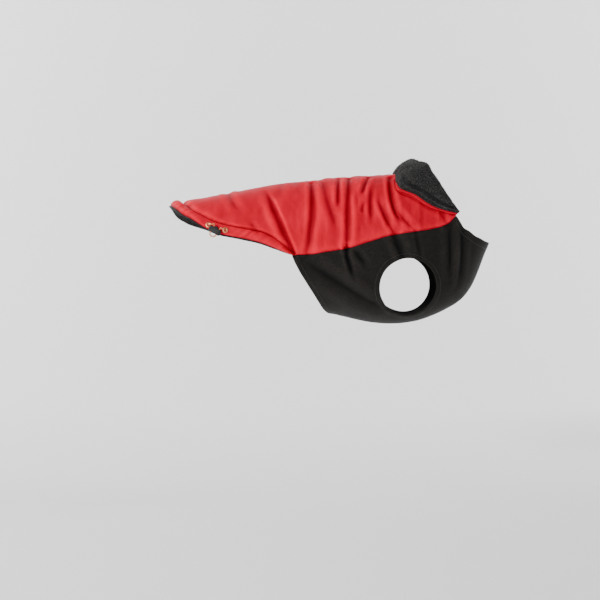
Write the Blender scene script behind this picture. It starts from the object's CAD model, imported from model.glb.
"""Looks of the dog coat: cloth, folds, sewing, fleece and fittings on the CAD frame.

Lengths are millimetres in the pattern's side view (x forward, z up, -y the wearer's
right) until world() turns them into metres in the shared frame.
"""
import math

import bmesh
import bpy
import numpy as np
from mathutils import Matrix, Vector

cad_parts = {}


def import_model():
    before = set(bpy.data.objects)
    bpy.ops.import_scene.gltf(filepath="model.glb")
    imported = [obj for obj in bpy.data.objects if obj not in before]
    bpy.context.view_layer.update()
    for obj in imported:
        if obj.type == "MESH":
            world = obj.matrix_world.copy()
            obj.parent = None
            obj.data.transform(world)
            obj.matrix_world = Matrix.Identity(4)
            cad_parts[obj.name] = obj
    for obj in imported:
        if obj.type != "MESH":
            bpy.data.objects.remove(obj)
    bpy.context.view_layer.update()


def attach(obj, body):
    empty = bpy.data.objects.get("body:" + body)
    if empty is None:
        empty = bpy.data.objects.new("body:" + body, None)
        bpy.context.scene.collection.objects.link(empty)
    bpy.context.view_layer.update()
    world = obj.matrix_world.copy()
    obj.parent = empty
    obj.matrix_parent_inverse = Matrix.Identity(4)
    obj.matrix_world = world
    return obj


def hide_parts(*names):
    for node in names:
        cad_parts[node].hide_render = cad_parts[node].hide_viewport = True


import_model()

MM = 0.001
BODY = "root"
FLOOR = -0.594              # where the wearer stands

# ---- pattern tables

SECTIONS = [
    # x and z on the back and under the belly, half the width; from tail to neck
    (-420.0, -49.0, -396.0, -238.0, 86.0),
    (-302.0, -28.0, -289.0, -239.0, 96.0),
    (-218.0, -12.5, -189.0, -245.0, 100.0),
    (-136.0, -2.0, -101.0, -261.0, 104.0),
    (-68.0, 4.0, -12.0, -280.0, 108.0),
    (-14.0, 7.5, 62.0, -278.0, 107.0),
    (12.0, 9.5, 133.0, -251.0, 99.0),
    (28.0, 11.5, 176.0, -213.0, 89.0),
    (42.0, 14.0, 213.0, -124.0, 74.0),
]
FULLNESS = 0.13             # how much the sides swell between back and belly
ORIGIN = np.array([0.4268, 0.0, 2.7798])     # lining at the withers
HEM_EDGE = {
    "right": [(-411, -51), (-388, -62), (-367, -74), (-346, -88), (-329, -98),
              (-304, -107), (-269, -114), (-231, -123), (-209, -131), (-187, -139),
              (-171, -145)],
    "left": [(-411, -51), (-405, -62), (-395, -74), (-377, -85), (-352, -94),
             (-329, -101), (-304, -109), (-269, -116), (-231, -124), (-209, -131),
             (-187, -139), (-171, -145)],
}
CHANNEL_SEAM = {
    "right": [(-384, -45), (-366, -55), (-346, -66), (-327, -76.5), (-306, -84),
              (-279, -90), (-250, -95), (-228, -100), (-211, -108), (-194, -119),
              (-178, -133), (-163, -144)],
    "left": [(-384, -45), (-376, -54), (-363, -65), (-341, -76), (-311, -85),
             (-279, -92), (-250, -97), (-228, -101), (-211, -108), (-194, -119),
             (-178, -133), (-163, -144)],
}
SIDE_SEAM = [(-163, -144), (-137, -143), (-99, -137), (-62, -130), (-24, -118),
             (14, -107), (51, -101), (90, -95), (113, -90), (128, -83), (140, -70)]
BELLY_HEM = [(-101, -262), (-113, -248), (-126, -226), (-140, -202), (-157, -174),
             (-171, -145)]
NECKLINE = [(213, -124), (195, -117), (180, -110), (168, -101), (157, -94),
            (150, -84), (140, -70)]
ARMHOLE = {"x": 49.0, "z": -206.0, "radius_x": 56.0, "radius_z": 57.0}
LAST = len(SECTIONS) - 1.0
HANDS = {"right": 1.0, "left": -1.0}
CHANNEL_ROWS, BACK_ROWS = 4, 19     # rows of the back from hem edge to channel to collar
CHANNEL_START = 0.5                 # the lining shows beyond this row

# Layers, as heights over the form in millimetres, outer face first. Those of the collar
# are heights over its middle surface.
PADDING, SHELL_IN = 0.7, -3.6
LINING_OUT, LINING_IN = -3.9, -5.7
UNDER_OUT, UNDER_IN = -1.4, -4.3
FACING_OUT, FACING_IN = 2.6, 0.15
COLLAR_OUT, COLLAR_IN = -0.15, -1.75
FOOT_DEPTH = -3.7           # of the collar's seam; it stands ahead of the back's edge
SEAM_STEP, GAP = 1.2, 0.3
SEAM_PINCH = 3.0            # how far stitches draw the padding down
HEM_WIDTH = 9.5             # turned hem of the black panels
ROUND = 110.0               # millimetres of cloth per radian round the body
FOLD_DEPTH = 1.7            # scale of the depths below
DEEPEST = 9.5               # no crease is deeper

# Folds: a valley through three points in side view. Each flank has its own width, and
# ridge is the height of the soft rolls beside it. start and end are the share of the
# depth at the two ends.
FOLDS = {
    # x0, z0, x1, z1, x2, z2, rear, front, depth, ridge, start, end
    "right": [
        (-221, -24, -196, -73, -167, -140, 9, 4, 5, 0.3, 0.1, 1),
        (-249, -80, -245, -89, -236, -101, 5, 5, 1.1, 0.3, 0.2, 0.8),
        (-296, -26, -285, -43, -269, -60, 8, 7, 1.3, 0.5, 0.7, 0.1),
        (-135, -8, -134, -68, -144, -138, 5, 8, 3.6, 0.3, 0.45, 0.4),
        (-118, 2, -102, -48, -80, -101, 8, 8, 1.4, 0.5, 0.2, 0.1),
        (-82, 0, -84, -30, -86, -58, 4, 5, 2.6, 0.3, 0.5, 0.1),
        (-63, 0, -66, -66, -68, -131, 5, 7, 3.4, 0.3, 0.4, 0.9),
        (-50, -18, -48, -44, -45, -75, 5, 6, 1.2, 0.4, 0.1, 0.1),
        (-25, 3, -34, -14, -40, -32, 4, 6, 3.2, 0.3, 0.5, 0.1),
        (-21, -6, -23, -45, -22, -81, 4, 6, 2.5, 0.3, 0.2, 0.1),
        (-33, -39, -38, -55, -37, -66, 4, 4, 1.8, 0.3, 0.1, 0.1),
        (-10, -34, 4, -70, 23, -104, 4.5, 7, 3.2, 0.3, 0.1, 0.4),
        (16, 2, 18, -43, 35, -79, 4.5, 7, 4.2, 0.3, 0.5, 0.2),
        (27, -58, 43, -79, 61, -97, 4, 5, 2.2, 0.3, 0.1, 0.4),
        (110, -64, 118, -75, 123, -86, 3, 4, 1.6, 0.3, 0.4, 0.4),
        (-70, -131, -65, -156, -54, -190, 4, 5, 3.8, 0.3, 0.9, 0.1),
        (-58, -133, -43, -149, -30, -168, 5, 6, 1.8, 0.4, 0.5, 0.1),
        (-150, -152, -88, -196, -16, -238, 16, 13, 3.6, 0.4, 0.3, 0.6),
        (21, -108, 31, -130, 40, -153, 7, 9, 3.2, 0.3, 0.7, 0.6),
        (63, -99, 67, -122, 72, -149, 4, 4, 1.1, 0.3, 0.6, 0.4),
        (126, -87, 131, -134, 129, -196, 9, 8, 2.4, 0.5, 0.3, 0.2),
        (146, -90, 153, -138, 146, -205, 7, 8, 1.8, 0.4, 0.3, 0.2),
    ],
    "left": [
        (-238, -30, -209, -80, -184, -132, 9, 6, 4.4, 0.26, 0.2, 0.7),
        (-300, -24, -297, -42, -283, -64, 7, 8, 1.4, 0.5, 0.6, 0.1),
        (-150, -10, -142, -60, -152, -132, 6, 8, 3.2, 0.3, 0.3, 0.4),
        (-122, 0, -110, -44, -96, -92, 7, 8, 1.5, 0.5, 0.2, 0.1),
        (-84, 0, -78, -58, -86, -126, 5, 7, 3.2, 0.3, 0.4, 0.8),
        (-52, 0, -55, -30, -58, -66, 5, 5, 2, 0.3, 0.3, 0.1),
        (-27, 0, -29, -40, -24, -88, 4, 6, 2.8, 0.3, 0.3, 0.1),
        (-6, -22, 0, -62, 14, -104, 4.5, 7, 2.8, 0.3, 0.1, 0.4),
        (8, 2, 14, -46, 33, -84, 4.5, 7, 3.8, 0.3, 0.4, 0.2),
        (106, -62, 114, -74, 121, -88, 3, 4, 1.6, 0.3, 0.4, 0.4),
        (-82, -128, -72, -160, -58, -200, 5, 5, 3.2, 0.3, 0.8, 0.1),
        (-140, -162, -80, -206, -8, -244, 14, 14, 3.4, 0.4, 0.3, 0.6),
        (26, -104, 33, -128, 39, -153, 7, 9, 2.8, 0.3, 0.7, 0.6),
        (120, -90, 127, -140, 122, -200, 9, 9, 2.2, 0.5, 0.3, 0.2),
        (148, -92, 156, -142, 150, -200, 7, 8, 1.6, 0.4, 0.3, 0.2),
    ],
}

COLLAR = [
    # degrees round the neck, height of the stand, x and z of the fall's edge
    (0.0, 26.5, 30.0, 12.0),
    (15.0, 28.5, 29.0, 8.0),
    (30.0, 34.0, 28.0, 1.0),
    (42.0, 33.5, 28.0, -8.0),
    (54.0, 28.5, 31.8, -22.4),
    (68.0, 22.0, 57.0, -33.0),
    (82.0, 14.0, 91.0, -53.0),
    (92.0, 9.0, 116.0, -61.5),
    (100.0, 6.0, 139.5, -67.5),
]
LEAN = np.array([0.61, 0.0, 0.79])          # the way the stand leans
ROLL_RADIUS = 3.1

EYELET_PROFILE = [          # radius and height of the flange, the bore and the barrel
    (5.7, 0.0), (5.65, 0.45), (5.3, 0.8), (4.7, 1.15), (4.0, 1.4), (3.4, 1.4), (2.9, 1.2),
    (2.5, 0.8), (2.35, 0.2), (2.3, -2.2), (3.0, -2.2), (3.0, 0.0)]
EYELETS = {"eyelet_rear": (-329.0, -88.0), "eyelet_front": (-297.0, -97.5)}
LOCK = {"x": -316.0, "z": -99.5, "tilt": 32.0, "out": 5.2, "half_width": 5.5,
        "hole_at": 6.4, "length": 24.0, "thick": 7.0}
BUTTON = {"length": 7.2, "depth": 7.4, "thick": 4.2, "proud": 2.8}
CORD = 2.6                  # diameter


# ---- the form

def unit(v):
    """Vectors made one unit long."""
    return v / np.linalg.norm(v, axis=-1, keepdims=True)


def mix(a, b, t):
    """Between a at t = 0 and b at t = 1."""
    return a + (b - a) * t


def fade(distance, reach, power=1):
    """1 at no distance, falling to nothing some way past reach."""
    return np.exp(-(distance / reach) ** power)


def run_along(points, axis=0):
    """Length along an axis of a line or grid of points, from its start."""
    steps = np.linalg.norm(np.diff(points, axis=axis), axis=-1)
    return np.concatenate([np.zeros_like(steps.take([0], axis)),
                           np.cumsum(steps, axis=axis)], axis)


def read_at(values, run, goal):
    """Values read at goal, where run is the length at each row of values."""
    return np.stack([np.interp(goal, run, column) for column in values.T], -1)


def catmull(rows, t):
    """Smooth curve through equally spaced rows, t from 0 to len - 1."""
    rows = np.asarray(rows, float)
    last = len(rows) - 1
    t = np.asarray(t, float)
    i = np.clip(t.astype(int), 0, last - 1)
    f = (t - i)[..., None]
    padded = np.vstack([2 * rows[0] - rows[1], rows, 2 * rows[-1] - rows[-2]])
    a, b, c, d = (padded[i + k] for k in range(4))
    return 0.5 * (2 * b + (c - a) * f + (2 * a - 5 * b + 4 * c - d) * f ** 2
                  + (3 * b - a - 3 * c + d) * f ** 3)


def form(s, phi):
    """Outer face at section s and angle phi from the back's centre line."""
    row = catmull(SECTIONS, s)
    c, n = np.cos(phi), np.sin(phi)
    middle, arm = (row[..., :2] + row[..., 2:4]) / 2, (row[..., :2] - row[..., 2:4]) / 2
    return np.stack([middle[..., 0] + arm[..., 0] * c,
                     -row[..., 4] * n * (1 + FULLNESS * c * c),
                     middle[..., 1] + arm[..., 1] * c], -1)


def normal(s, phi):
    """Outward direction of the form."""
    e = 0.01
    along = form(np.minimum(s + e, LAST), phi) - form(np.maximum(s - e, 0.0), phi)
    around = form(s, phi + e) - form(s, phi - e)
    return unit(np.cross(around, along))


def from_side(x, z):
    """Section and angle of the place that has this x and z in side view."""
    x, z = np.asarray(x, float), np.asarray(z, float)
    low, high = np.zeros_like(x), np.full_like(x, LAST)
    for _ in range(40):
        s = (low + high) / 2
        row = catmull(SECTIONS, s)
        run, drop = row[..., 2] - row[..., 0], row[..., 3] - row[..., 1]
        ahead = run * (z - row[..., 1]) - drop * (x - row[..., 0]) > 0
        low, high = np.where(ahead, s, low), np.where(ahead, high, s)
    f = ((x - row[..., 0]) * run + (z - row[..., 1]) * drop) / (run ** 2 + drop ** 2)
    return np.stack([s, np.arccos(1 - 2 * np.clip(f, 0, 1))], -1)


class Course:
    """A smooth line on the form, read by its share of the length, 0 to 1."""

    def __init__(self, places, centred=False):
        start = 0
        if centred:
            turned = places[:0:-1] * [1, -1] + [0, 2 * places[0][1]]
            start = len(turned)
            places = np.vstack([turned, places])
        self.at = catmull(places, np.linspace(start, len(places) - 1, 400))
        self.run = run_along(form(*self.at.T))

    def __call__(self, t):
        return read_at(self.at, self.run, np.clip(t, 0, 1) * self.run[-1])


def course(table, centre=None):
    """Line through side view points; its first lies on the centre line if given one."""
    places = from_side(*np.array(table, float).T)
    if centre is not None:
        places[0, 1] = centre
    return Course(places, centre is not None)


hem_edge = {side: course(table, 0.0) for side, table in HEM_EDGE.items()}
channel_seam = {side: course(table, 0.0) for side, table in CHANNEL_SEAM.items()}
belly_hem = course(BELLY_HEM, math.pi)
neckline = course(NECKLINE, math.pi)
side_seam = course(SIDE_SEAM)
TAIL, TIP = channel_seam["right"](0)[0], side_seam(1)
spine = Course(np.array([(TAIL + (LAST - TAIL) * k / 12, 0.0) for k in range(13)]))


def collar_seam(v):
    """From the centre of the back to the collar's front point."""
    v = np.asarray(v, float)
    return np.stack([LAST + (TIP[0] - LAST) * v * v, TIP[1] * v], -1)


def back_place(row, v):
    """Places of the back: its rows from the hem edge to the collar, v -1 left, 1 right."""
    row, v = np.broadcast_arrays(np.asarray(row, float), np.asarray(v, float))
    side, sign = np.abs(v)[..., None], np.where(v < 0, -1.0, 1.0)
    t = np.abs(v)
    u = np.clip((row - CHANNEL_ROWS) / BACK_ROWS, 0, 1)
    w = (row / CHANNEL_ROWS)[..., None]
    found = {}
    for name in ("right", "left"):
        hem, seam = hem_edge[name](t), channel_seam[name](t)
        across = mix(seam, collar_seam(t), u[..., None])
        along = mix(spine(u), side_seam(u), side)
        rear = mix(channel_seam[name](0), channel_seam[name](1), side)
        front = mix(collar_seam(0), collar_seam(1), side)
        back = across + along - mix(rear, front, u[..., None])
        found[name] = np.where(w <= 1, mix(hem, seam, w), back)
    place = np.where((v < 0)[..., None], found["left"], found["right"])
    return place * np.stack([np.ones_like(sign), sign], -1)


# ---- folds and wrinkles

def noise(u, v, seed):
    """Smooth value noise from -1 to 1 with one cell per unit."""
    i, j = np.floor(u), np.floor(v)
    f, g = u - i, v - j
    f, g = f * f * (3 - 2 * f), g * g * (3 - 2 * g)

    def corner(a, b):
        n = np.sin(a * 127.1 + b * 311.7 + seed * 74.7) * 43758.5453
        return (n - np.floor(n)) * 2 - 1

    low = corner(i, j) * (1 - f) + corner(i + 1, j) * f
    high = corner(i, j + 1) * (1 - f) + corner(i + 1, j + 1) * f
    return low * (1 - g) + high * g


def chart(place):
    """Cloth coordinates in millimetres: x forward and b round the body, right side +."""
    return form(place[..., 0], place[..., 1])[..., 0], ROUND * place[..., 1]


def smooth(t):
    t = np.clip(t, 0, 1)
    return t * t * (3 - 2 * t)


def fold_shape(cloth, valley, hand, rear, front, depth, ridge, start, end):
    """Height that one fold adds at cloth points, its valley given by three of them."""
    t = np.linspace(0, 1, 15)[:, None]
    line = ((1 - t) * (1 - 2 * t) * valley[0] + 4 * t * (1 - t) * valley[1]
            + t * (2 * t - 1) * valley[2])
    a, step = line[:-1], np.diff(line, axis=0)
    dx, db = cloth[:, :1] - a[:, 0], cloth[:, 1:] - a[:, 1]
    f = np.clip((dx * step[:, 0] + db * step[:, 1]) / (step ** 2).sum(1), 0, 1)
    dx, db = dx - f * step[:, 0], db - f * step[:, 1]
    far = np.hypot(dx, db)
    k = far.argmin(1)
    pick = np.arange(len(cloth)), k
    far, dx, db, along = far[pick], dx[pick], db[pick], (k + f[pick]) / len(step)
    ahead = (step[k, 1] * dx - step[k, 0] * db) * hand > 0
    d = far / (0.86 * np.where(ahead, front, rear))
    taper = (start + (1 - start) * smooth(along / 0.4)) * (
        end + (1 - end) * smooth((1 - along) / 0.4))
    crease = 0.72 * fade(d, 1, 1.5) + 0.34 * fade(d, 0.42, 1.2)
    return FOLD_DEPTH * depth * taper * (ridge * fade(d - 2.0, 0.95, 2) - crease)


def relief(place):
    """Height of the folds at places of the form, shared by every layer of the coat."""
    cloth = np.stack(chart(place), -1).reshape(-1, 2)
    total = np.zeros(len(cloth))
    for side, hand in HANDS.items():
        for *points, rear, front, depth, ridge, start, end in FOLDS[side]:
            valley = np.stack(chart(from_side(points[::2], points[1::2]) * [1, hand]), -1)
            reach = 4.0 * max(rear, front) + 12
            near = ((cloth > valley.min(0) - reach)
                    & (cloth < valley.max(0) + reach)).all(1)
            if near.any():
                total[near] += fold_shape(cloth[near], valley, hand, rear, front, depth,
                                          ridge, start, end)
    total = np.where(total < 0, -DEEPEST * np.tanh(total / -DEEPEST), total)
    return total.reshape(place.shape[:-1])


def layers(u, v, *rows):
    """Wrinkles from rows of height, length along u, length along v and seed."""
    return sum(height * noise(u / across, v / along, seed)
               for height, across, along, seed in rows)


def channel_dip(distance):
    """How the channel seam draws every layer in, by distance from it."""
    return -2.7 * fade(distance, 5.5, 1.6)


def skin(place, out):
    """Points of the coat, out millimetres from the form."""
    s, phi = place[..., 0], place[..., 1]
    return form(s, phi) + normal(s, phi) * np.asarray(out)[..., None]


def world(points):
    """Metres in the shared frame."""
    return (points - ORIGIN) * MM


# ---- camera

def put(name, data, spot=(0, 0, 0), aim=None):
    """An object in the scene, turned to look at aim if that is given."""
    made = bpy.data.objects.new(name, data)
    bpy.context.scene.collection.objects.link(made)
    made.location = spot
    if aim is not None:
        made.rotation_euler = (Vector(aim) - made.location).to_track_quat(
            "-Z", "Y").to_euler()
    return made


camera_data = bpy.data.cameras.new("camera")
camera_data.lens, camera_data.sensor_width = 92.3, 36.0
bpy.context.scene.camera = put("camera", camera_data, (-0.1564, -3.0, -0.0838),
                               (-0.1564, 0.0, -0.237))


# ---- materials

def srgb(code):
    """Linear colour of an sRGB hex code."""
    parts = [int(code[k:k + 2], 16) / 255 for k in (1, 3, 5)]
    return tuple(c / 12.92 if c <= 0.04045 else ((c + 0.055) / 1.055) ** 2.4
                 for c in parts) + (1.0,)


def add(tree, kind, inputs=(), stops=(), out=0, **settings):
    """Adds a node and returns an output. An input gets a value or a link to a socket.

    stops are the (place, colour code) pairs of a colour ramp.
    """
    made = tree.nodes.new("ShaderNode" + kind)
    for name, value in settings.items():
        setattr(made, name, value)
    for name, value in inputs:
        if isinstance(value, bpy.types.NodeSocket):
            tree.links.new(value, made.inputs[name])
        else:
            made.inputs[name].default_value = value
    for k, (at, code) in enumerate(stops):
        stop = (made.color_ramp.elements[k] if k < 2
                else made.color_ramp.elements.new(at))
        stop.position, stop.color = at, srgb(code)
    return made.outputs[out]


def new_material(name, **values):
    """A material with its tree and shader; values are set on the shader."""
    made = bpy.data.materials.new(name)
    made.use_nodes = True
    shader = made.node_tree.nodes["Principled BSDF"]
    for key, value in values.items():
        shader.inputs[key.replace("_", " ")].default_value = value
    return made, made.node_tree, shader


def in_creases(tree, colour, amount):
    """Darkens a colour in the creases, where cloth shades and dulls itself."""
    held = add(tree, "Attribute", out="Fac", attribute_name="hollow")
    shade = add(tree, "MapRange", [
        ("Value", held), ("To Min", 1 + 0.4 * amount), ("To Max", 1 - amount)])
    return add(tree, "VectorMath", [(0, colour), (1, shade)], operation="MULTIPLY")


def red_nylon():
    """Dyed nylon ripstop, woven with small diamond cells and calendered on one face.

    The filaments are bright and lie flat, so it has a low soft sheen, deeper colour in
    the small pits of the weave and a crumple of its own. The real cells are about
    1.5 mm; they are drawn at 3.4 mm because finer ones don't show.
    """
    made, tree, shader = new_material(
        "red woven nylon", Roughness=0.5, IOR=1.53, Specular_IOR_Level=0.1,
        Specular_Tint=srgb("#ff8a84"))
    cell, shade_patch, crumple_size = 3.4 * MM, 38 * MM, 6.7 * MM
    where = add(tree, "UVMap", uv_map="cloth")
    turned = add(tree, "Mapping", [
        ("Vector", where), ("Rotation", (0, 0, math.radians(38))),
        ("Scale", (2 * math.pi / cell, 2 * math.pi / cell, 1))])
    split = add(tree, "SeparateXYZ", [("Vector", turned)]).node.outputs
    waves = [add(tree, "Math", [(0, split[axis])], operation="SINE") for axis in "XY"]
    weave = add(tree, "Math", [(0, waves[0]), (1, waves[1])], operation="MULTIPLY")
    level = add(tree, "Math", [(0, weave), (1, 0.5), (2, 0.5)], operation="MULTIPLY_ADD")
    place = add(tree, "TexCoord", out="Object")
    cloud = add(tree, "TexNoise", [
        ("Vector", place), ("Scale", 1 / shade_patch), ("Detail", 2.0)])
    tone = add(tree, "ValToRGB", [("Fac", cloud)], [(0.3, "#da062a"), (0.72, "#ea0a32")])
    pits = add(tree, "ValToRGB", [("Fac", level)], [(0.1, "#a8a8a8"), (0.6, "#ffffff")])
    shade = add(tree, "Mix", [("Factor", 0.5), (6, tone), (7, pits)], out=2,
                data_type="RGBA", blend_type="MULTIPLY")
    tree.links.new(in_creases(tree, shade, 0.6), shader.inputs["Base Color"])
    crumple = add(tree, "TexNoise", [
        ("Vector", place), ("Scale", 1 / crumple_size), ("Detail", 3.0)])
    rough = add(tree, "Bump", [
        ("Height", crumple), ("Strength", 0.2), ("Distance", 1.2 * MM)])
    bump = add(tree, "Bump", [
        ("Height", level), ("Normal", rough), ("Strength", 0.3), ("Distance", 0.3 * MM)])
    tree.links.new(bump, shader.inputs["Normal"])
    return made


def grained(name, dark, light, grain_size, strength, depth, crease=0.0, low=0.35,
            high=0.68, **values):
    """Cloth with an irregular grain in two close tones, its size in metres."""
    made, tree, shader = new_material(name, **values)
    place = add(tree, "TexCoord", out="Object")
    grain = add(tree, "TexNoise", [
        ("Vector", place), ("Scale", 1 / grain_size), ("Detail", 3.0),
        ("Roughness", 0.65)])
    tone = add(tree, "ValToRGB", [("Fac", grain)], [(low, dark), (high, light)])
    if crease:
        tone = in_creases(tree, tone, crease)
    tree.links.new(tone, shader.inputs["Base Color"])
    bump = add(tree, "Bump", [
        ("Height", grain), ("Strength", strength), ("Distance", depth)])
    tree.links.new(bump, shader.inputs["Normal"])
    return made


def elastic_cord():
    """Round elastic with a braided polyester cover, dyed peach.

    The strands run round it in two hands and their tops catch the light, with darker
    diamonds between. A strand repeats every 1.5 mm along the cord.
    """
    made, tree, shader = new_material("peach braided elastic", Roughness=0.65, IOR=1.55,
                                      Sheen_Weight=0.2)
    repeat, strands = 1.54 * MM, 3.0
    where = add(tree, "UVMap", uv_map="cloth")
    ribs = []
    for hand in (-1, 1):
        turned = add(tree, "Mapping", [
            ("Vector", where),
            ("Scale", (2 * math.pi * strands, hand * 2 * math.pi / repeat, 1))])
        split = add(tree, "SeparateXYZ", [("Vector", turned)]).node.outputs
        total = add(tree, "Math", [(0, split["X"]), (1, split["Y"])], operation="ADD")
        ribs.append(add(tree, "Math", [(0, total)], operation="SINE"))
    top = add(tree, "Math", [(0, ribs[0]), (1, ribs[1])], operation="MAXIMUM")
    tone = add(tree, "ValToRGB", [("Fac", top)], [(0.0, "#a4491c"), (0.8, "#e2834c")])
    tree.links.new(tone, shader.inputs["Base Color"])
    bump = add(tree, "Bump", [("Height", top), ("Strength", 0.5), ("Distance", 0.3 * MM)])
    tree.links.new(bump, shader.inputs["Normal"])
    return made


def hard_finish(name, code, roughness, spot_size, **values):
    """A hard finish whose gloss varies a little in spots of a size in metres."""
    made, tree, shader = new_material(name, Base_Color=srgb(code), **values)
    place = add(tree, "TexCoord", out="Object")
    wear = add(tree, "TexNoise", [
        ("Vector", place), ("Scale", 1 / spot_size), ("Detail", 2.0)])
    span = add(tree, "MapRange", [
        ("Value", wear), ("To Min", roughness - 0.06), ("To Max", roughness + 0.08)])
    tree.links.new(span, shader.inputs["Roughness"])
    return made


RED = red_nylon()
# Polyester softshell, knitted and heat set: matt and dense, with a faint even grain.
# Its loops are about 0.5 mm and are drawn at 1.9 mm because finer ones don't show.
BLACK = grained("black knitted polyester softshell", "#100e0c", "#25221f", 1.9 * MM, 0.3,
                0.4 * MM, crease=0.95, Roughness=0.75, IOR=1.5, Sheen_Weight=0.03,
                Specular_IOR_Level=0.14)
# Polar fleece, knitted polyester brushed on its face: no gloss, tufts of 2.6 mm whose
# fibre ends are paler than the ground between them.
FLEECE = grained("black brushed polyester fleece", "#0a0909", "#484644", 2.6 * MM, 0.9,
                 2.0 * MM, crease=0.75, low=0.45, high=0.76, Roughness=0.95, IOR=1.5,
                 Sheen_Weight=0.12, Sheen_Roughness=0.6, Specular_IOR_Level=0.12)
# The single fibres of that fleece, paler in tufts 3 mm apart.
PILE = grained("black polyester fleece fibre", "#151413", "#94918c", 3.0 * MM, 0.0,
               0.1 * MM, low=0.45, high=0.72, Roughness=0.9, IOR=1.5, Sheen_Weight=0.1)
# Spun polyester sewing thread: dull, with its plies 0.7 mm apart along it.
RED_THREAD = grained("red spun polyester thread", "#b00a20", "#e0142e", 0.7 * MM, 0.3,
                     0.2 * MM, Roughness=0.6, IOR=1.5)
BLACK_THREAD = grained("black spun polyester thread", "#141414", "#2a2a2a", 0.7 * MM, 0.3,
                       0.2 * MM, Roughness=0.6, IOR=1.5)
ELASTIC = elastic_cord()
# Pressed brass plated in rose gold: bright and a little soft, worn in spots of 1 mm.
ROSE_GOLD = hard_finish("rose gold plated brass", "#d98a62", 0.3, 1.1 * MM, Metallic=1.0)
# Nylon 6, injection moulded with a fine spark texture, which leaves a low gloss.
PLASTIC = hard_finish("black moulded nylon", "#0c0c0e", 0.48, 1.1 * MM, IOR=1.53,
                      Specular_IOR_Level=0.35)


# ---- mesh building

def cloth_object(name, points, faces, material, uv=None, slot=None, replaces=(),
                 hollow=None):
    """A finished mesh object from points in millimetres."""
    mesh = bpy.data.meshes.new(name)
    faces = np.asarray(faces)
    mesh.vertices.add(len(points))
    mesh.vertices.foreach_set("co", world(points).astype(np.float32).ravel())
    mesh.loops.add(faces.size)
    mesh.loops.foreach_set("vertex_index", faces.astype(np.int32).ravel())
    mesh.polygons.add(len(faces))
    mesh.polygons.foreach_set("loop_start", np.arange(
        0, faces.size, faces.shape[1], dtype=np.int32))
    mesh.update(calc_edges=True)
    if uv is not None:
        layer = mesh.uv_layers.new(name="cloth")
        layer.data.foreach_set("uv", uv[faces.ravel()].astype(np.float32).ravel())
    if hollow is not None:
        held = mesh.attributes.new("hollow", "FLOAT", "POINT")
        held.data.foreach_set("value", hollow.astype(np.float32))
    mesh.materials.append(material)
    mesh.shade_smooth()
    made = put(name, mesh)
    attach(made, BODY)
    if replaces:
        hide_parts(*replaces)
    return made


def rework(made, change):
    """Runs a change on the mesh of an object."""
    bm = bmesh.new()
    bm.from_mesh(made.data)
    change(bm)
    bm.to_mesh(made.data)
    bm.free()


def outward_faces(bm):
    """Makes the faces agree and turns them outward."""
    bmesh.ops.recalc_face_normals(bm, faces=bm.faces[:])
    if bm.calc_volume(signed=True) < 0:
        bmesh.ops.reverse_faces(bm, faces=bm.faces[:])


def open_edges(bm):
    return [e for e in bm.edges if e.is_boundary]


def grid_faces(rows, columns, start=0, wrap=False):
    """Faces of a grid of points whose numbers begin at start."""
    i, j = np.meshgrid(np.arange(rows - 1), np.arange(columns if wrap else columns - 1),
                       indexing="ij")
    k = (j + 1) % columns
    corners = [i * columns + j, (i + 1) * columns + j, (i + 1) * columns + k,
               i * columns + k]
    return np.stack(corners, -1).reshape(-1, 4) + start


def rim_loops(rows, columns, wrap):
    """Border loops of a grid, each with the inner neighbours of its points."""
    at = np.arange(rows * columns).reshape(rows, columns)
    if wrap:
        return [(at[0], at[1]), (at[-1], at[-2])]
    loop = np.concatenate([at[0, :-1], at[:-1, -1], at[-1, :0:-1], at[:0:-1, 0]])
    near = np.concatenate([at[1, :-1], at[:-1, -2], at[-2, :0:-1], at[:0:-1, 1]])
    for i in (0, -1):
        for j in (0, -1):
            near[loop == at[i, j]] = at[1:-1, 1:-1][i, j]
    return [(loop, near)]


def cloth_lengths(grid):
    """Cloth coordinates of a grid in metres, measured along its rows and columns."""
    across = run_along(grid, 1)
    across -= across[:, [grid.shape[1] // 2]]
    return np.stack([across, run_along(grid)], -1).reshape(-1, 2) * MM


def blurred(height, cells, wrap=False):
    """A grid of heights averaged over a square of cells each way."""
    size = 2 * cells + 1
    for mode in ("edge", "wrap" if wrap else "edge"):
        grown = np.pad(height, ((cells, cells), (0, 0)), mode=mode)
        total = np.cumsum(np.vstack([0 * grown[:1], grown]), axis=0)
        height = ((total[size:] - total[:-size]) / size).T
    return height


RIM_STEPS = 4               # faces round a rim, from the outer to the inner grid


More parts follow.
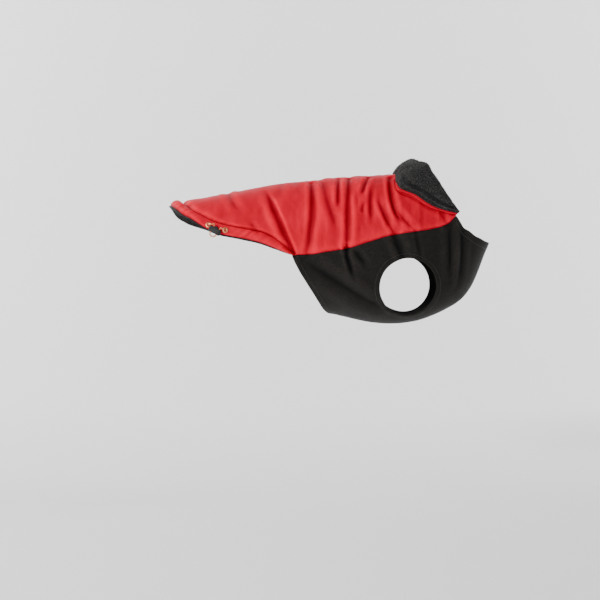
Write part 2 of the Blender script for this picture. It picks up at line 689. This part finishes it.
def shell(name, outer, inner, material, wrap=False, height=None, cells=4, **facts):
    """A closed cloth wall between two grids of points, with round rims.

    From height, the cloth's own relief, comes the attribute hollow: 0.5 where the
    cloth is even, up to 1 in a crease and down to 0 on a ridge.
    """
    rows, columns = outer.shape[:2]
    count = rows * columns
    if height is None:
        height = np.zeros((rows, columns))
    low = (blurred(blurred(height, cells, wrap), cells, wrap) - height) / 4.0
    low = np.clip(0.5 + low, 0, 1).ravel()
    hollow = [low, np.full(count, 0.5)]
    points = [outer.reshape(-1, 3), inner.reshape(-1, 3)]
    uv = [cloth_lengths(outer)] * 2
    faces = [grid_faces(rows, columns, 0, wrap), grid_faces(rows, columns, count, wrap)]
    total = 2 * count
    for loop, near in rim_loops(rows, columns, wrap):
        middle = (points[0][loop] + points[1][loop]) / 2
        half = (points[0][loop] - points[1][loop]) / 2
        size = np.linalg.norm(half, axis=1, keepdims=True)
        away = points[0][loop] - points[0][near]
        away -= half * (away * half).sum(1, keepdims=True) / size ** 2
        away = unit(away) * size
        rings = [loop]
        for k in range(1, RIM_STEPS):
            angle = math.pi * k / RIM_STEPS
            points.append(middle + half * math.cos(angle) + away * math.sin(angle))
            uv.append(uv[0][loop])
            hollow.append(low[loop])
            rings.append(np.arange(len(loop)) + total)
            total += len(loop)
        rings.append(loop + count)
        for a, b in zip(rings, rings[1:]):
            faces.append(np.stack([a, np.roll(a, -1), np.roll(b, -1), b], -1))
    made = cloth_object(name, np.vstack(points), np.vstack(faces), material,
                        np.vstack(uv), hollow=np.concatenate(hollow), **facts)
    rework(made, outward_faces)
    return made


def grid_normals(grid):
    along, across = np.gradient(grid, axis=0), np.gradient(grid, axis=1)
    return unit(np.cross(along, across))


def edge_rows(count, ends):
    """Shares from 0 to 1 with extra rows close to both ends."""
    ends = np.array(ends, float)
    return np.concatenate([ends, np.linspace(ends[-1] + 1.0 / count,
                                             1 - ends[-1] - 1.0 / count, count),
                           1 - ends[::-1]])


def resample(points, pitch):
    """Evenly spaced points along a polyline, with the step that fits it."""
    run = run_along(points)
    count = max(int(round(run[-1] / pitch)), 2)
    return read_at(points, run, np.linspace(0, run[-1], count + 1))


def tube_mesh(path, radius, sides=14):
    """Points, faces and cloth coordinates of an open tube round a path."""
    along = unit(np.gradient(path, axis=0))
    across = np.zeros_like(path)
    side = np.cross(along[0], [0.3, 0.2, 0.9])
    for k, direction in enumerate(along):
        side = side - direction * side.dot(direction)
        side /= np.linalg.norm(side)
        across[k] = side
    up = np.cross(along, across)
    turn = 2 * math.pi * np.arange(sides) / sides
    rings = (path[:, None] + radius * (across[:, None] * np.cos(turn)[:, None]
                                       + up[:, None] * np.sin(turn)[:, None]))
    uv = np.stack(np.broadcast_arrays(np.arange(sides) / sides,
                                      run_along(path)[:, None] * MM), -1)
    return rings.reshape(-1, 3), grid_faces(len(path), sides, 0, True), uv.reshape(-1, 2)


def stitch_run(points, outward, name, material):
    """A line of machine stitches: short round threads laid end to end."""
    long, gap, radius, sides = 2.9, 1.0, 0.32, 6
    run = run_along(points)
    count = int(run[-1] / (long + gap))
    turn = 2 * math.pi * np.arange(sides) / sides
    # Rings of one stitch: share of its length, of its radius, and lift in radii.
    rings = [(-0.5, 0.25, -0.28), (-0.4, 0.85, -0.05), (-0.15, 1.0, 0.1),
             (0.15, 1.0, 0.1), (0.4, 0.85, -0.05), (0.5, 0.25, -0.28)]
    shape = np.array([[a, r * math.cos(t), lift + r * math.sin(t)]
                      for a, r, lift in rings for t in turn])
    starts = np.linspace(0, run[-1], count + 1)[:-1] + gap / 2
    a, c = read_at(points, run, starts), read_at(points, run, starts + long)
    up = unit(read_at(outward, run, starts + long / 2))
    length = np.linalg.norm(c - a, axis=1, keepdims=True)
    along = (c - a) / length
    side = unit(np.cross(up, along))
    up = np.cross(along, side)
    placed = ((a + c)[:, None] / 2 + along[:, None] * shape[None, :, :1] * length[:, None]
              + side[:, None] * shape[None, :, 1:2] * radius
              + up[:, None] * shape[None, :, 2:] * radius)
    cap = np.array([[0, k + 1, k + 2, (k + 3) % sides] for k in range(0, sides - 2, 2)])
    one = np.vstack([grid_faces(len(rings), sides, 0, True), cap,
                     cap[:, [0, 3, 2, 1]] + (len(rings) - 1) * sides])
    faces = (one[None] + (np.arange(count) * len(shape))[:, None, None]).reshape(-1, 4)
    made = cloth_object(name, placed.reshape(-1, 3), faces, material)
    rework(made, outward_faces)
    return made


# ---- the drawcord

def seat(name):
    """Middle and outward direction of an eyelet on the channel."""
    place = from_side(*EYELETS[name])
    return skin(place, 0.0), normal(*place)


lock_place = from_side(LOCK["x"], LOCK["z"])
LOCK_OUTWARD = normal(*lock_place)
LOCK_MIDDLE = skin(lock_place, LOCK["out"])
tilt = math.radians(LOCK["tilt"])
LOCK_ALONG = np.array([math.cos(tilt), 0.0, -math.sin(tilt)])
LOCK_ALONG = unit(LOCK_ALONG - LOCK_OUTWARD * LOCK_ALONG.dot(LOCK_OUTWARD))
LOCK_UP = np.cross(LOCK_OUTWARD, LOCK_ALONG)


def lock_point(x, y, z):
    """A point in the cord lock's own axes: along it, across it and outward."""
    return LOCK_MIDDLE + LOCK_ALONG * x + LOCK_UP * y + LOCK_OUTWARD * z


def cord_route():
    """Waypoints of the drawcord, rear eyelet to front eyelet, as in the CAD."""
    at, half = LOCK["hole_at"], LOCK["half_width"]
    (rear, rear_out), (front, front_out) = seat("eyelet_rear"), seat("eyelet_front")
    return [rear - rear_out, rear + rear_out * 3.4,
            mix(rear, lock_point(-at, half, 0), 0.42) + rear_out * 6.4,
            lock_point(-at - 0.9, half + 4.4, 2.2),
            lock_point(-at, half, 0), lock_point(-at, 0, 0), lock_point(-at, -half, 0),
            lock_point(-at + 1.6, -half - 4.8, 0.4), lock_point(-0.6, -half - 7.0, 0.6),
            lock_point(at - 1.4, -half - 4.8, 0.4),
            lock_point(at, -half, 0), lock_point(at, 0, 0), lock_point(at, half, 0),
            lock_point(at + 1.4, half + 4.2, 2.2),
            mix(front, lock_point(at, half, 0), 0.34) + front_out * 6.0,
            front + front_out * 3.2, front - front_out]


route = np.array(cord_route())
cord_path = resample(catmull(route, np.linspace(0, len(route) - 1, 400)), 0.7)
points, faces, cord_uv = tube_mesh(cord_path, CORD / 2)
drawcord = cloth_object("peach_drawcord", points, faces, ELASTIC, cord_uv,
                        slot="peach_elastic", replaces=["drawcord"])
rework(drawcord, lambda bm: bmesh.ops.holes_fill(bm, edges=open_edges(bm), sides=20))
rework(drawcord, outward_faces)


# ---- back and lining

STITCH_ROW = 2              # row of the back's grid that the channel's stitches follow

u = CHANNEL_ROWS + BACK_ROWS * edge_rows(240, [0, 0.0025, 0.006, 0.011])
v = 2 * edge_rows(150, [0, 0.003, 0.008, 0.014]) - 1
place = back_place(u[:, None], v[None, :])
plan = skin(place, 0.0)
along, across = run_along(plan), run_along(plan, 1)
rear, front = along, along[-1] - along
side = np.minimum(across, across[:, [-1]] - across)
edge = np.minimum(np.minimum(rear, front), side)
x, b = chart(place)
folds = relief(place) + channel_dip(rear)
puff = PADDING - SEAM_PINCH * np.maximum.reduce([
    fade(side, 2.0, 1.3), fade(rear, 4.0, 1.2), fade(front, 4.0, 1.2)])
busy = 0.35 + 0.65 * smooth((x + 250) / 90)        # the rump lies nearly flat
wrinkle = smooth(edge / 10.0) * busy * layers(
    x, b, (1.1, 15, 46, 1), (0.6, 7.5, 24, 2), (0.25, 3.8, 8.0, 3))
hem_run = ROUND * place[..., 1] + x * 0.6
pucker = (fade(rear, 11) * layers(hem_run, rear, (1.6, 6.0, 30, 4))
          + fade(side, 9) * layers(x, b, (0.8, 7.0, 60, 5))
          + fade(front, 9) * layers(b, front, (0.5, 8.0, 30, 6))
          ) * smooth(edge / 2.5)
# The collar's edge presses a shadowed groove into the back.
rim = np.array([row[2:] for row in COLLAR[2:]])
rim_line = catmull(rim, np.linspace(0, len(rim) - 1, 90))
rim_x, rim_b = chart(from_side(rim_line[:, 0] - 1.0, rim_line[:, 1] - 2.2))
to_rim = np.min(np.hypot(x[..., None] - rim_x, np.abs(b)[..., None] - rim_b), axis=-1)
under_rim = -2.4 * fade(to_rim, 2.4, 2) * smooth(side / 6.0)
height = folds + puff + wrinkle + pucker + under_rim
back = shell("red_back_panel", skin(place, height), skin(place, folds + SHELL_IN), RED,
             height=height, slot="red_nylon", replaces=["back_panel"])
row = place[STITCH_ROW, 2:-2]
channel_stitching = stitch_run(skin(row, height[STITCH_ROW, 2:-2] + 0.15),
                               normal(*row.T), "channel_stitching", RED_THREAD)

# The drawcord channel along the hem, gathered a little on its cord.
rows = np.linspace(CHANNEL_START, CHANNEL_ROWS, 26)
v = 2 * edge_rows(420, [0, 0.0015, 0.004]) - 1
place = back_place(rows[:, None], v[None, :])
plan = skin(place, 0.0)
run = run_along(plan[len(rows) // 2 - 1])
reach = np.hypot(plan[..., 0] - LOCK["x"], plan[..., 2] - LOCK["z"]) / 60.0
flat = np.where(plan[..., 1] < 0, 1 - np.clip((reach - 0.5) / 0.5, 0, 1), 0)
section = (rows - CHANNEL_START) / (CHANNEL_ROWS - CHANNEL_START)
rise = (-2.3 + 7.2 * np.sin(math.pi * section) ** 0.6 - 0.5 * section)[:, None]
gather = (layers(run, 0 * run, (0.8, 8.0, 1, 7), (0.55, 3.6, 1, 8))
          * np.sin(math.pi * section)[:, None] ** 0.5)
ends = smooth(np.minimum(run, run[-1] - run) / 12)[None, :]
rise = np.minimum(rise, 0) + np.maximum(rise, 0) * (1 - flat) * (0.35 + 0.65 * ends)
from_seam = np.linalg.norm(plan - plan[-1:], axis=2)
folds = relief(place) + channel_dip(from_seam)
height = folds + rise + gather * (1 - 0.75 * flat)
channel = shell("red_hem_channel", skin(place, height), skin(place, folds + SHELL_IN),
                RED, height=height, slot="red_nylon", replaces=["hem_channel"])

# Fleece lining. Past the side seam it goes in under the black panels.
u = (CHANNEL_ROWS + BACK_ROWS) * edge_rows(120, [0, 0.002, 0.005])
v = np.linspace(-1, 1, 111)
place = back_place(u[:, None], v[None, :])
step = place[:, [1, -2]] - place[:, [0, -1]]
plan = skin(place, 0.0)
width = np.linalg.norm(plan[:, [1, -2]] - plan[:, [0, -1]], axis=2)[..., None]
tuck = place[:, [0, -1]] - step * np.minimum(5.0 / width, 2.5)
place = np.concatenate([tuck[:, :1], place, tuck[:, 1:]], axis=1)
x, b = chart(place)
drop = np.zeros(len(v) + 2)
drop[[0, 1, -2, -1]] = -1.2, -0.7, -0.7, -1.2
seam_row = int(np.abs(u - CHANNEL_ROWS).argmin())
plan = skin(place, 0.0)
folds = relief(place) + drop + channel_dip(
    np.linalg.norm(plan - plan[seam_row:seam_row + 1], axis=2))
nub = layers(x, b, (0.3, 2.3, 2.3, 9), (0.25, 4.6, 4.6, 10))
hem_wave = fade(u, 1.2, 2)[:, None] * layers(b, x, (0.5, 9, 9, 11))
lining = shell("fleece_back_lining", skin(place, folds + LINING_OUT + hem_wave),
               skin(place, folds + LINING_IN + nub + hem_wave), FLEECE,
               slot="black_fleece", replaces=["back_lining"])


# ---- under panels

def outline():
    """Places along the edges of an under panel, in their order round it."""
    front, rear = neckline(0)[0], belly_hem(0)[0]
    centre = np.stack([np.linspace(front, rear, 100), np.full(100, math.pi)], -1)
    return {"side": np.concatenate([back_place([0.0], [1.0]),
                                    side_seam(np.linspace(0, 1, 110))]),
            "neckline": neckline(np.linspace(1, 0, 42))[1:],
            "centre": centre[1:-1],
            "belly": belly_hem(np.linspace(0, 1, 60))[:-1]}


edges = outline()
OUTLINE = np.concatenate(list(edges.values()))
PART = np.repeat(list(edges), [len(places) for places in edges.values()])
TURNED = np.isin(PART, ["neckline", "belly"]).astype(float)     # edges with a turned hem
middle = from_side(ARMHOLE["x"], ARMHOLE["z"])
heading = np.arctan2((OUTLINE[:, 1] - middle[1]) * 105.0,
                     (OUTLINE[:, 0] - middle[0]) * 52.0)
ARM_EDGE = from_side(ARMHOLE["x"] + ARMHOLE["radius_x"] * np.cos(heading),
                     ARMHOLE["z"] - ARMHOLE["radius_z"] * np.sin(heading))
STITCH_RING, STITCH_LINE = 6, 8.8       # ring of a hem's stitches, and their groove


def under_rings():
    """Rings of places from the armhole to the outline, closer at both edges.

    Also the distance of each place from the armhole and from the outline.
    """
    length = np.linalg.norm(skin(OUTLINE, 0.0) - skin(ARM_EDGE, 0.0), axis=1)
    near = np.array([0, 0.8, 2.0, 3.6, 5.4, 7.2, 8.6, 9.4, 10.4, 12.0])
    inner = near[:, None] / length
    outer = 1 - inner[::-1] - 0.4 / length
    between = np.linspace(0, 1, 46)[1:-1, None]
    rings = np.concatenate([inner, mix(inner[-1], outer[0], between), outer])
    return mix(ARM_EDGE, OUTLINE, rings[..., None]), rings * length, (1 - rings) * length


under_place, from_arm, from_edge = under_rings()
for side, hand in HANDS.items():
    place = under_place * [1, hand]
    x, b = chart(place)
    folds = relief(place)
    hems = (smooth(1 - (from_arm - HEM_WIDTH) / 2.5)
            + smooth(1 - (from_edge - HEM_WIDTH) / 2.5) * TURNED)
    seam_dip = -1.3 * fade(from_edge, 3.5) * (1 - TURNED)
    groove = -0.4 * (fade(from_arm - STITCH_LINE, 0.9, 2)
                     + TURNED * fade(from_edge - STITCH_LINE, 0.9, 2))
    calm = smooth(np.minimum(from_arm, from_edge) / 14)
    wrinkle = calm * layers(x, b, (0.5, 24, 40, 12), (0.2, 9, 22, 13))
    pull = (fade(from_arm, 9) * layers(x + 33, b, (0.35, 11, 11, 14))
            + fade(from_edge, 8) * layers(x, b, (0.25, 8, 26, 15)))
    out = folds + UNDER_OUT + 0.5 * hems + seam_dip + groove + wrinkle + pull
    panel = shell(f"black_under_panel_{side}", skin(place, out),
                  skin(place, folds + UNDER_IN + wrinkle), BLACK, wrap=True, height=out,
                  cells=5, slot="black_softshell", replaces=[f"under_panel_{side}"])
    for part, ring, pick in (
            ("armhole", STITCH_RING, np.append(np.arange(len(PART)), 0)),
            ("neckline", -1 - STITCH_RING, PART == "neckline"),
            ("belly", -1 - STITCH_RING, PART == "belly")):
        line = place[ring][pick]
        stitch_run(skin(line, out[ring][pick] + 0.1), normal(*line.T),
                                    f"{part}_stitching_{side}", BLACK_THREAD)


# ---- collar

STAND_ROWS, ROLL_ROWS, FALL_ROWS = 8, 9, 34
COLLAR_HALF = 190.0         # millimetres from the collar's middle to its point
NEAR_LAST = LAST - 0.01
CLEARANCE = 3.0             # from the form to the collar's middle surface


def nearest(p, s, phi):
    """Section and angle of the places on the form nearest to points."""
    for _ in range(12):
        e = 0.005
        q = form(s, phi)
        along = (form(s + e, phi) - form(s - e, phi)) / (2 * e)
        around = (form(s, phi + e) - form(s, phi - e)) / (2 * e)
        aa, ab, bb = ((along * along).sum(-1), (along * around).sum(-1),
                      (around * around).sum(-1))
        pa, pb = ((p - q) * along).sum(-1), ((p - q) * around).sum(-1)
        det = aa * bb - ab * ab
        s = np.clip(s + (pa * bb - pb * ab) / det * 0.8, 0.01, NEAR_LAST)
        phi = phi + (pb * aa - pa * ab) / det * 0.8
    return s, phi


def collar_grid(v):
    """Middle surface of the collar: rows from the seam over the roll to the edge."""
    hand = np.where(v < 0, -1.0, 1.0)
    place = collar_seam(np.abs(v))
    s, phi = place[:, 0], place[:, 1]
    table = np.array([[-row[0], *row[1:]] for row in COLLAR[:0:-1]] + COLLAR)
    angle = np.degrees(phi)
    k = np.clip(np.searchsorted(table[:, 0], angle, side="right") - 1, 0, len(table) - 2)
    f = np.clip((angle - table[k, 0]) / (table[k + 1, 0] - table[k, 0]), 0, 1)
    stand, edge_x, edge_z = catmull(table[:, 1:], k + f).T
    edge_x = edge_x + 0.8 * noise(v * 13, 0 * v, 22)    # the cut edge wavers
    edge_z = edge_z + 0.8 * noise(v * 10, 0 * v, 23)
    # The stand rises and dips once on each side, above the collar's corner.
    stand = stand + 2.4 * fade(angle - 41, 5, 2) - 1.8 * fade(angle - 28, 5, 2)
    phi = phi * hand
    last = np.full_like(phi, LAST)
    ahead = unit(form(last, phi) - form(last - 0.1, phi))
    foot = skin(np.stack([s, phi], -1), FOOT_DEPTH) + ahead * SEAM_STEP + LEAN * GAP
    outward = normal(s, phi)
    outward = unit(outward - LEAN * (outward @ LEAN)[:, None])
    top = foot + LEAN * stand[:, None] + foot * [0, -0.05, 0]
    lines = [mix(foot, top, t) for t in np.linspace(0, 1, STAND_ROWS + 1)[:-1]]
    middle = top + outward * ROLL_RADIUS
    for t in np.linspace(0, math.pi, ROLL_ROWS):
        lines.append(middle - outward * ROLL_RADIUS * math.cos(t)
                     + LEAN * ROLL_RADIUS * math.sin(t))
    start = lines[-1]
    edge = from_side(edge_x, edge_z)
    edge[:, 1] = np.where(np.abs(phi) < 0.02, 0.0, edge[:, 1])
    edge_s, edge_phi = edge[:, 0], edge[:, 1] * hand
    end = skin(np.stack([edge_s, edge_phi], -1), CLEARANCE)
    swell = np.minimum(np.linalg.norm(end - start, axis=1) * 0.10, 5.0)[:, None]
    for t in np.linspace(0, 1, FALL_ROWS + 1)[1:]:
        p = mix(start, end, t) + outward * swell * math.sin(math.pi * t)
        at_s, at_phi = nearest(p, mix(s, edge_s, t), mix(phi, edge_phi, t))
        up = normal(at_s, at_phi)
        height = ((p - form(at_s, at_phi)) * up).sum(-1)
        over_back = np.minimum((NEAR_LAST - at_s) / 0.2, 1.0)
        lift = np.maximum(CLEARANCE - height, 0.0) * over_back
        lines.append(p + up * lift[:, None])
    return np.array(lines)


columns = np.linspace(-1, 1, 181)
collar = collar_grid(columns)
up = grid_normals(collar)
from_seam = run_along(collar)
to_edge = from_seam[-1] - from_seam
angle = np.abs(columns) * math.degrees(TIP[1])
u = columns * COLLAR_HALF
ripple = smooth(from_seam / 16) * layers(u[None], from_seam, (1.1, 26, 30, 16),
                                         (0.5, 9, 16, 17))
collar = collar + up * ripple[..., None]
sides = smooth((angle - 34) / 14)
to_tip = 1 - smooth((angle - 91) / 7)
crease_at = 17.0 - 3.5 * smooth((angle - 60) / 35)
seam_line = -3.6 * fade(to_edge - crease_at, 2.8, 2) * sides * to_tip
edge_roll = 2.0 * fade(to_edge - 0.5 * crease_at, 4.5, 2) * sides * to_tip
nub = layers(u[None], from_seam, (0.28, 1.9, 1.9, 18), (0.22, 4.1, 4.1, 19))
face = collar + up * (FACING_OUT + seam_line + edge_roll + nub)[..., None]

# The fleece stops short of the edge along the sides, where the red shell rolls round.
bare = 5.5 * smooth((angle - 40) / 14)


def pulled_back(grid, amount):
    """The grid with its last rows moved back from the edge along the surface."""
    moved = grid.copy()
    for j in range(grid.shape[1]):
        run = from_seam[:, j]
        moved[:, j] = read_at(grid[:, j], run, run * (run[-1] - amount[j]) / run[-1])
    return moved


def pile(name, grid, outward, count, seed, full):
    """Short fleece fibres standing on a grid of points, joined as one mesh.

    full is the share of their length at each place of the grid.
    """
    random = np.random.default_rng(seed)
    rows, cols = grid.shape[:2]
    i = random.uniform(0, rows - 1.001, count)
    j = random.uniform(0, cols - 1.001, count)
    a, c = i.astype(int), j.astype(int)
    f, g = (i - a)[:, None], (j - c)[:, None]
    root = ((grid[a, c] * (1 - f) + grid[a + 1, c] * f) * (1 - g)
            + (grid[a, c + 1] * (1 - f) + grid[a + 1, c + 1] * f) * g)
    up = outward[a, c]
    lean = unit(up + random.normal(0, 0.55, (count, 3)))
    side = unit(np.cross(lean, random.normal(0, 1, (count, 3))))
    length = (random.uniform(0.8, 1.9, count) * full[a, c])[:, None]
    wide = random.uniform(0.14, 0.26, count)[:, None]
    bent = unit(lean + random.normal(0, 0.35, (count, 3)))
    points = np.stack([root - up * 0.3 - side * wide, root - up * 0.3 + side * wide,
                       root + lean * length * 0.6 + side * wide * 0.6,
                       root + (lean * 0.6 + bent * 0.5) * length], 1)
    faces = np.arange(count * 4).reshape(-1, 4)
    return cloth_object(name, points.reshape(-1, 3), faces, PILE)


crease = fade(to_edge - crease_at, 3.8, 2) * sides
face = pulled_back(face, bare)
fibres = pile("fleece_pile_collar", face[STAND_ROWS:], up[STAND_ROWS:], 15000, 21,
              1 - 0.96 * crease[STAND_ROWS:])
facing = shell("fleece_collar_facing", face, pulled_back(collar + up * FACING_IN, bare),
               FLEECE, height=3.0 * (seam_line + edge_roll), cells=5,
               slot="black_fleece", replaces=["collar_facing"])
roll_up = 3.4 * fade(to_edge, 3.6, 2) * sides
height = COLLAR_OUT + roll_up + layers(u[None], from_seam, (0.25, 5, 9, 20)) * sides
collar_back = shell("red_collar_shell", collar + up * height[..., None],
                    collar + up * COLLAR_IN, RED, slot="red_nylon",
                    replaces=["collar_shell"])


# ---- fittings

def frame_at(middle, along, up, outward):
    """Matrix that puts a piece built at the origin, in millimetres, in its place."""
    turn = Matrix(np.array([along, up, outward]).T.tolist()).to_4x4()
    turn.translation = Vector(world(middle))
    return turn @ Matrix.Scale(MM, 4)


def finish_hard(made, name, matrix, material, node):
    """Puts a modelled piece in place with its position in the mesh."""
    made.name = made.data.name = name
    made.data.transform(matrix)
    made.matrix_world = Matrix()
    made.data.materials.clear()
    made.data.materials.append(material)
    rework(made, outward_faces)
    bpy.ops.object.select_all(action="DESELECT")
    made.select_set(True)
    bpy.context.view_layer.objects.active = made
    bpy.ops.object.shade_smooth_by_angle(angle=math.radians(35))
    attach(made, BODY)
    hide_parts(node)
    return made


def start(kind, **values):
    """A new primitive mesh object, active and selected alone."""
    bpy.ops.object.select_all(action="DESELECT")
    getattr(bpy.ops.mesh, kind)(**values)
    return bpy.context.object


def block(size, at=(0, 0, 0)):
    """A box of a size about a point."""
    made = start("primitive_cube_add", size=1.0, location=at)
    made.scale = size
    bpy.ops.object.transform_apply(location=True, rotation=True, scale=True)
    return made


def apply(made, kind, **values):
    """Adds a modifier with its settings and applies it."""
    bpy.context.view_layer.objects.active = made
    step = made.modifiers.new(kind.lower(), kind)
    for key, value in values.items():
        setattr(step, key, value)
    bpy.ops.object.modifier_apply(modifier=step.name)


def cut_from(made, cutter):
    apply(made, "BOOLEAN", operation="DIFFERENCE", solver="EXACT", object=cutter)
    bpy.data.objects.remove(cutter, do_unlink=True)


def eyelet(name, node):
    """A two part eyelet: a domed flange rolled into its bore, and the barrel."""
    made = start("primitive_circle_add", vertices=48, radius=EYELET_PROFILE[0][0],
                 fill_type="NOTHING")
    bpy.ops.object.mode_set(mode="EDIT")
    bpy.ops.mesh.select_all(action="SELECT")
    for (old_radius, old_z), (radius, z) in zip(EYELET_PROFILE, EYELET_PROFILE[1:]):
        bpy.ops.mesh.extrude_region_move(TRANSFORM_OT_translate={
            "value": (0, 0, z - old_z)})
        grow = radius / old_radius
        bpy.ops.transform.resize(value=(grow, grow, 1), center_override=(0, 0, 0))
    bpy.ops.mesh.select_all(action="SELECT")
    bpy.ops.object.mode_set(mode="OBJECT")
    rework(made, lambda bm: bmesh.ops.bridge_loops(bm, edges=open_edges(bm)))
    middle, outward = seat(node)
    along = unit(LOCK_ALONG - outward * LOCK_ALONG.dot(outward))
    matrix = frame_at(middle + outward * 1.1, along, np.cross(outward, along), outward)
    return finish_hard(made, name, matrix, ROSE_GOLD, node)


eyelets = [eyelet("rose_gold_eyelet_rear", "eyelet_rear"),
           eyelet("rose_gold_eyelet_front", "eyelet_front")]

lock_frame = frame_at(LOCK_MIDDLE, LOCK_ALONG, LOCK_UP, LOCK_OUTWARD)
lock = block((LOCK["length"], 2 * LOCK["half_width"], LOCK["thick"]))
apply(lock, "BEVEL", width=1.7, segments=5, limit_method="ANGLE")
for hand in (-1, 1):                                # bores for the cord
    cut_from(lock, start("primitive_cylinder_add", vertices=32, radius=2.1, depth=20.0,
                         location=(hand * LOCK["hole_at"], 0, 0),
                         rotation=(math.pi / 2, 0, 0)))
well = (BUTTON["length"] + 2 * GAP, 2 * (BUTTON["depth"] - BUTTON["proud"] + GAP),
        BUTTON["thick"] + 2 * GAP)
cut_from(lock, block(well, (0, LOCK["half_width"], 0)))
for x in (-9.6, -8.2, 8.2, 9.6):                    # grip ridges at both ends
    cut_from(lock, block((0.6, 7.0, 1.0), (x, 0, 3.6)))
finish_hard(lock, "plastic_cord_lock_body", lock_frame, PLASTIC,
            "cord_lock_body")
button = block((BUTTON["length"], BUTTON["depth"], BUTTON["thick"]),
               (0, LOCK["half_width"] + BUTTON["proud"] - BUTTON["depth"] / 2, 0))
apply(button, "BEVEL", width=0.9, segments=4, limit_method="ANGLE")
finish_hard(button, "plastic_cord_lock_button", lock_frame, PLASTIC,
            "cord_lock_button")


# ---- what the soft pieces are cut to

cord_run = float(run_along(cord_path)[-1]) * MM


# ---- studio

def studio():
    """White sweep, a key light from the left, a soft fill and two lights on the wall."""
    reach, wall, top, bend = 9.0, 2.4, 7.0, 1.2
    profile = [(-reach, FLOOR)]
    profile += [(wall - bend + bend * math.sin(a), FLOOR + bend - bend * math.cos(a))
                for a in np.linspace(0, math.pi / 2, 16)]
    profile.append((wall, top))
    sweep = bpy.data.meshes.new("floor")
    sweep.from_pydata([(x, y, z) for y, z in profile for x in (-reach, reach)], [],
                      [(2 * k, 2 * k + 1, 2 * k + 3, 2 * k + 2)
                       for k in range(len(profile) - 1)])
    sweep.shade_smooth()
    sweep.materials.append(new_material("white studio paper", Roughness=0.95,
                                        Base_Color=srgb("#fcfcfc"))[0])
    floor = put("floor", sweep)
    for name, spot, aim, size, power in (
            ("key", (-2.2, -2.1, 1.1), (-0.1, 0, -0.1), 0.5, 92.0),
            ("fill", (1.9, -2.6, 0.9), (0, 0, -0.1), 1.6, 13.0),
            ("wall_left", (-2.6, 0.9, 1.2), (-0.6, 2.4, 0.2), 1.4, 66.0),
            ("wall_right", (2.4, 0.9, 1.2), (0.6, 2.4, 0.2), 1.4, 66.0)):
        lamp = bpy.data.lights.new(name, "AREA")
        lamp.size, lamp.energy = size, power
        put(name, lamp, spot, aim)
    studio_world = bpy.data.worlds.new("studio")
    bpy.context.scene.world = studio_world
    studio_world.use_nodes = True
    sky = studio_world.node_tree.nodes["Background"]
    sky.inputs["Color"].default_value = (1, 1, 1, 1)
    sky.inputs["Strength"].default_value = 0.42


studio()
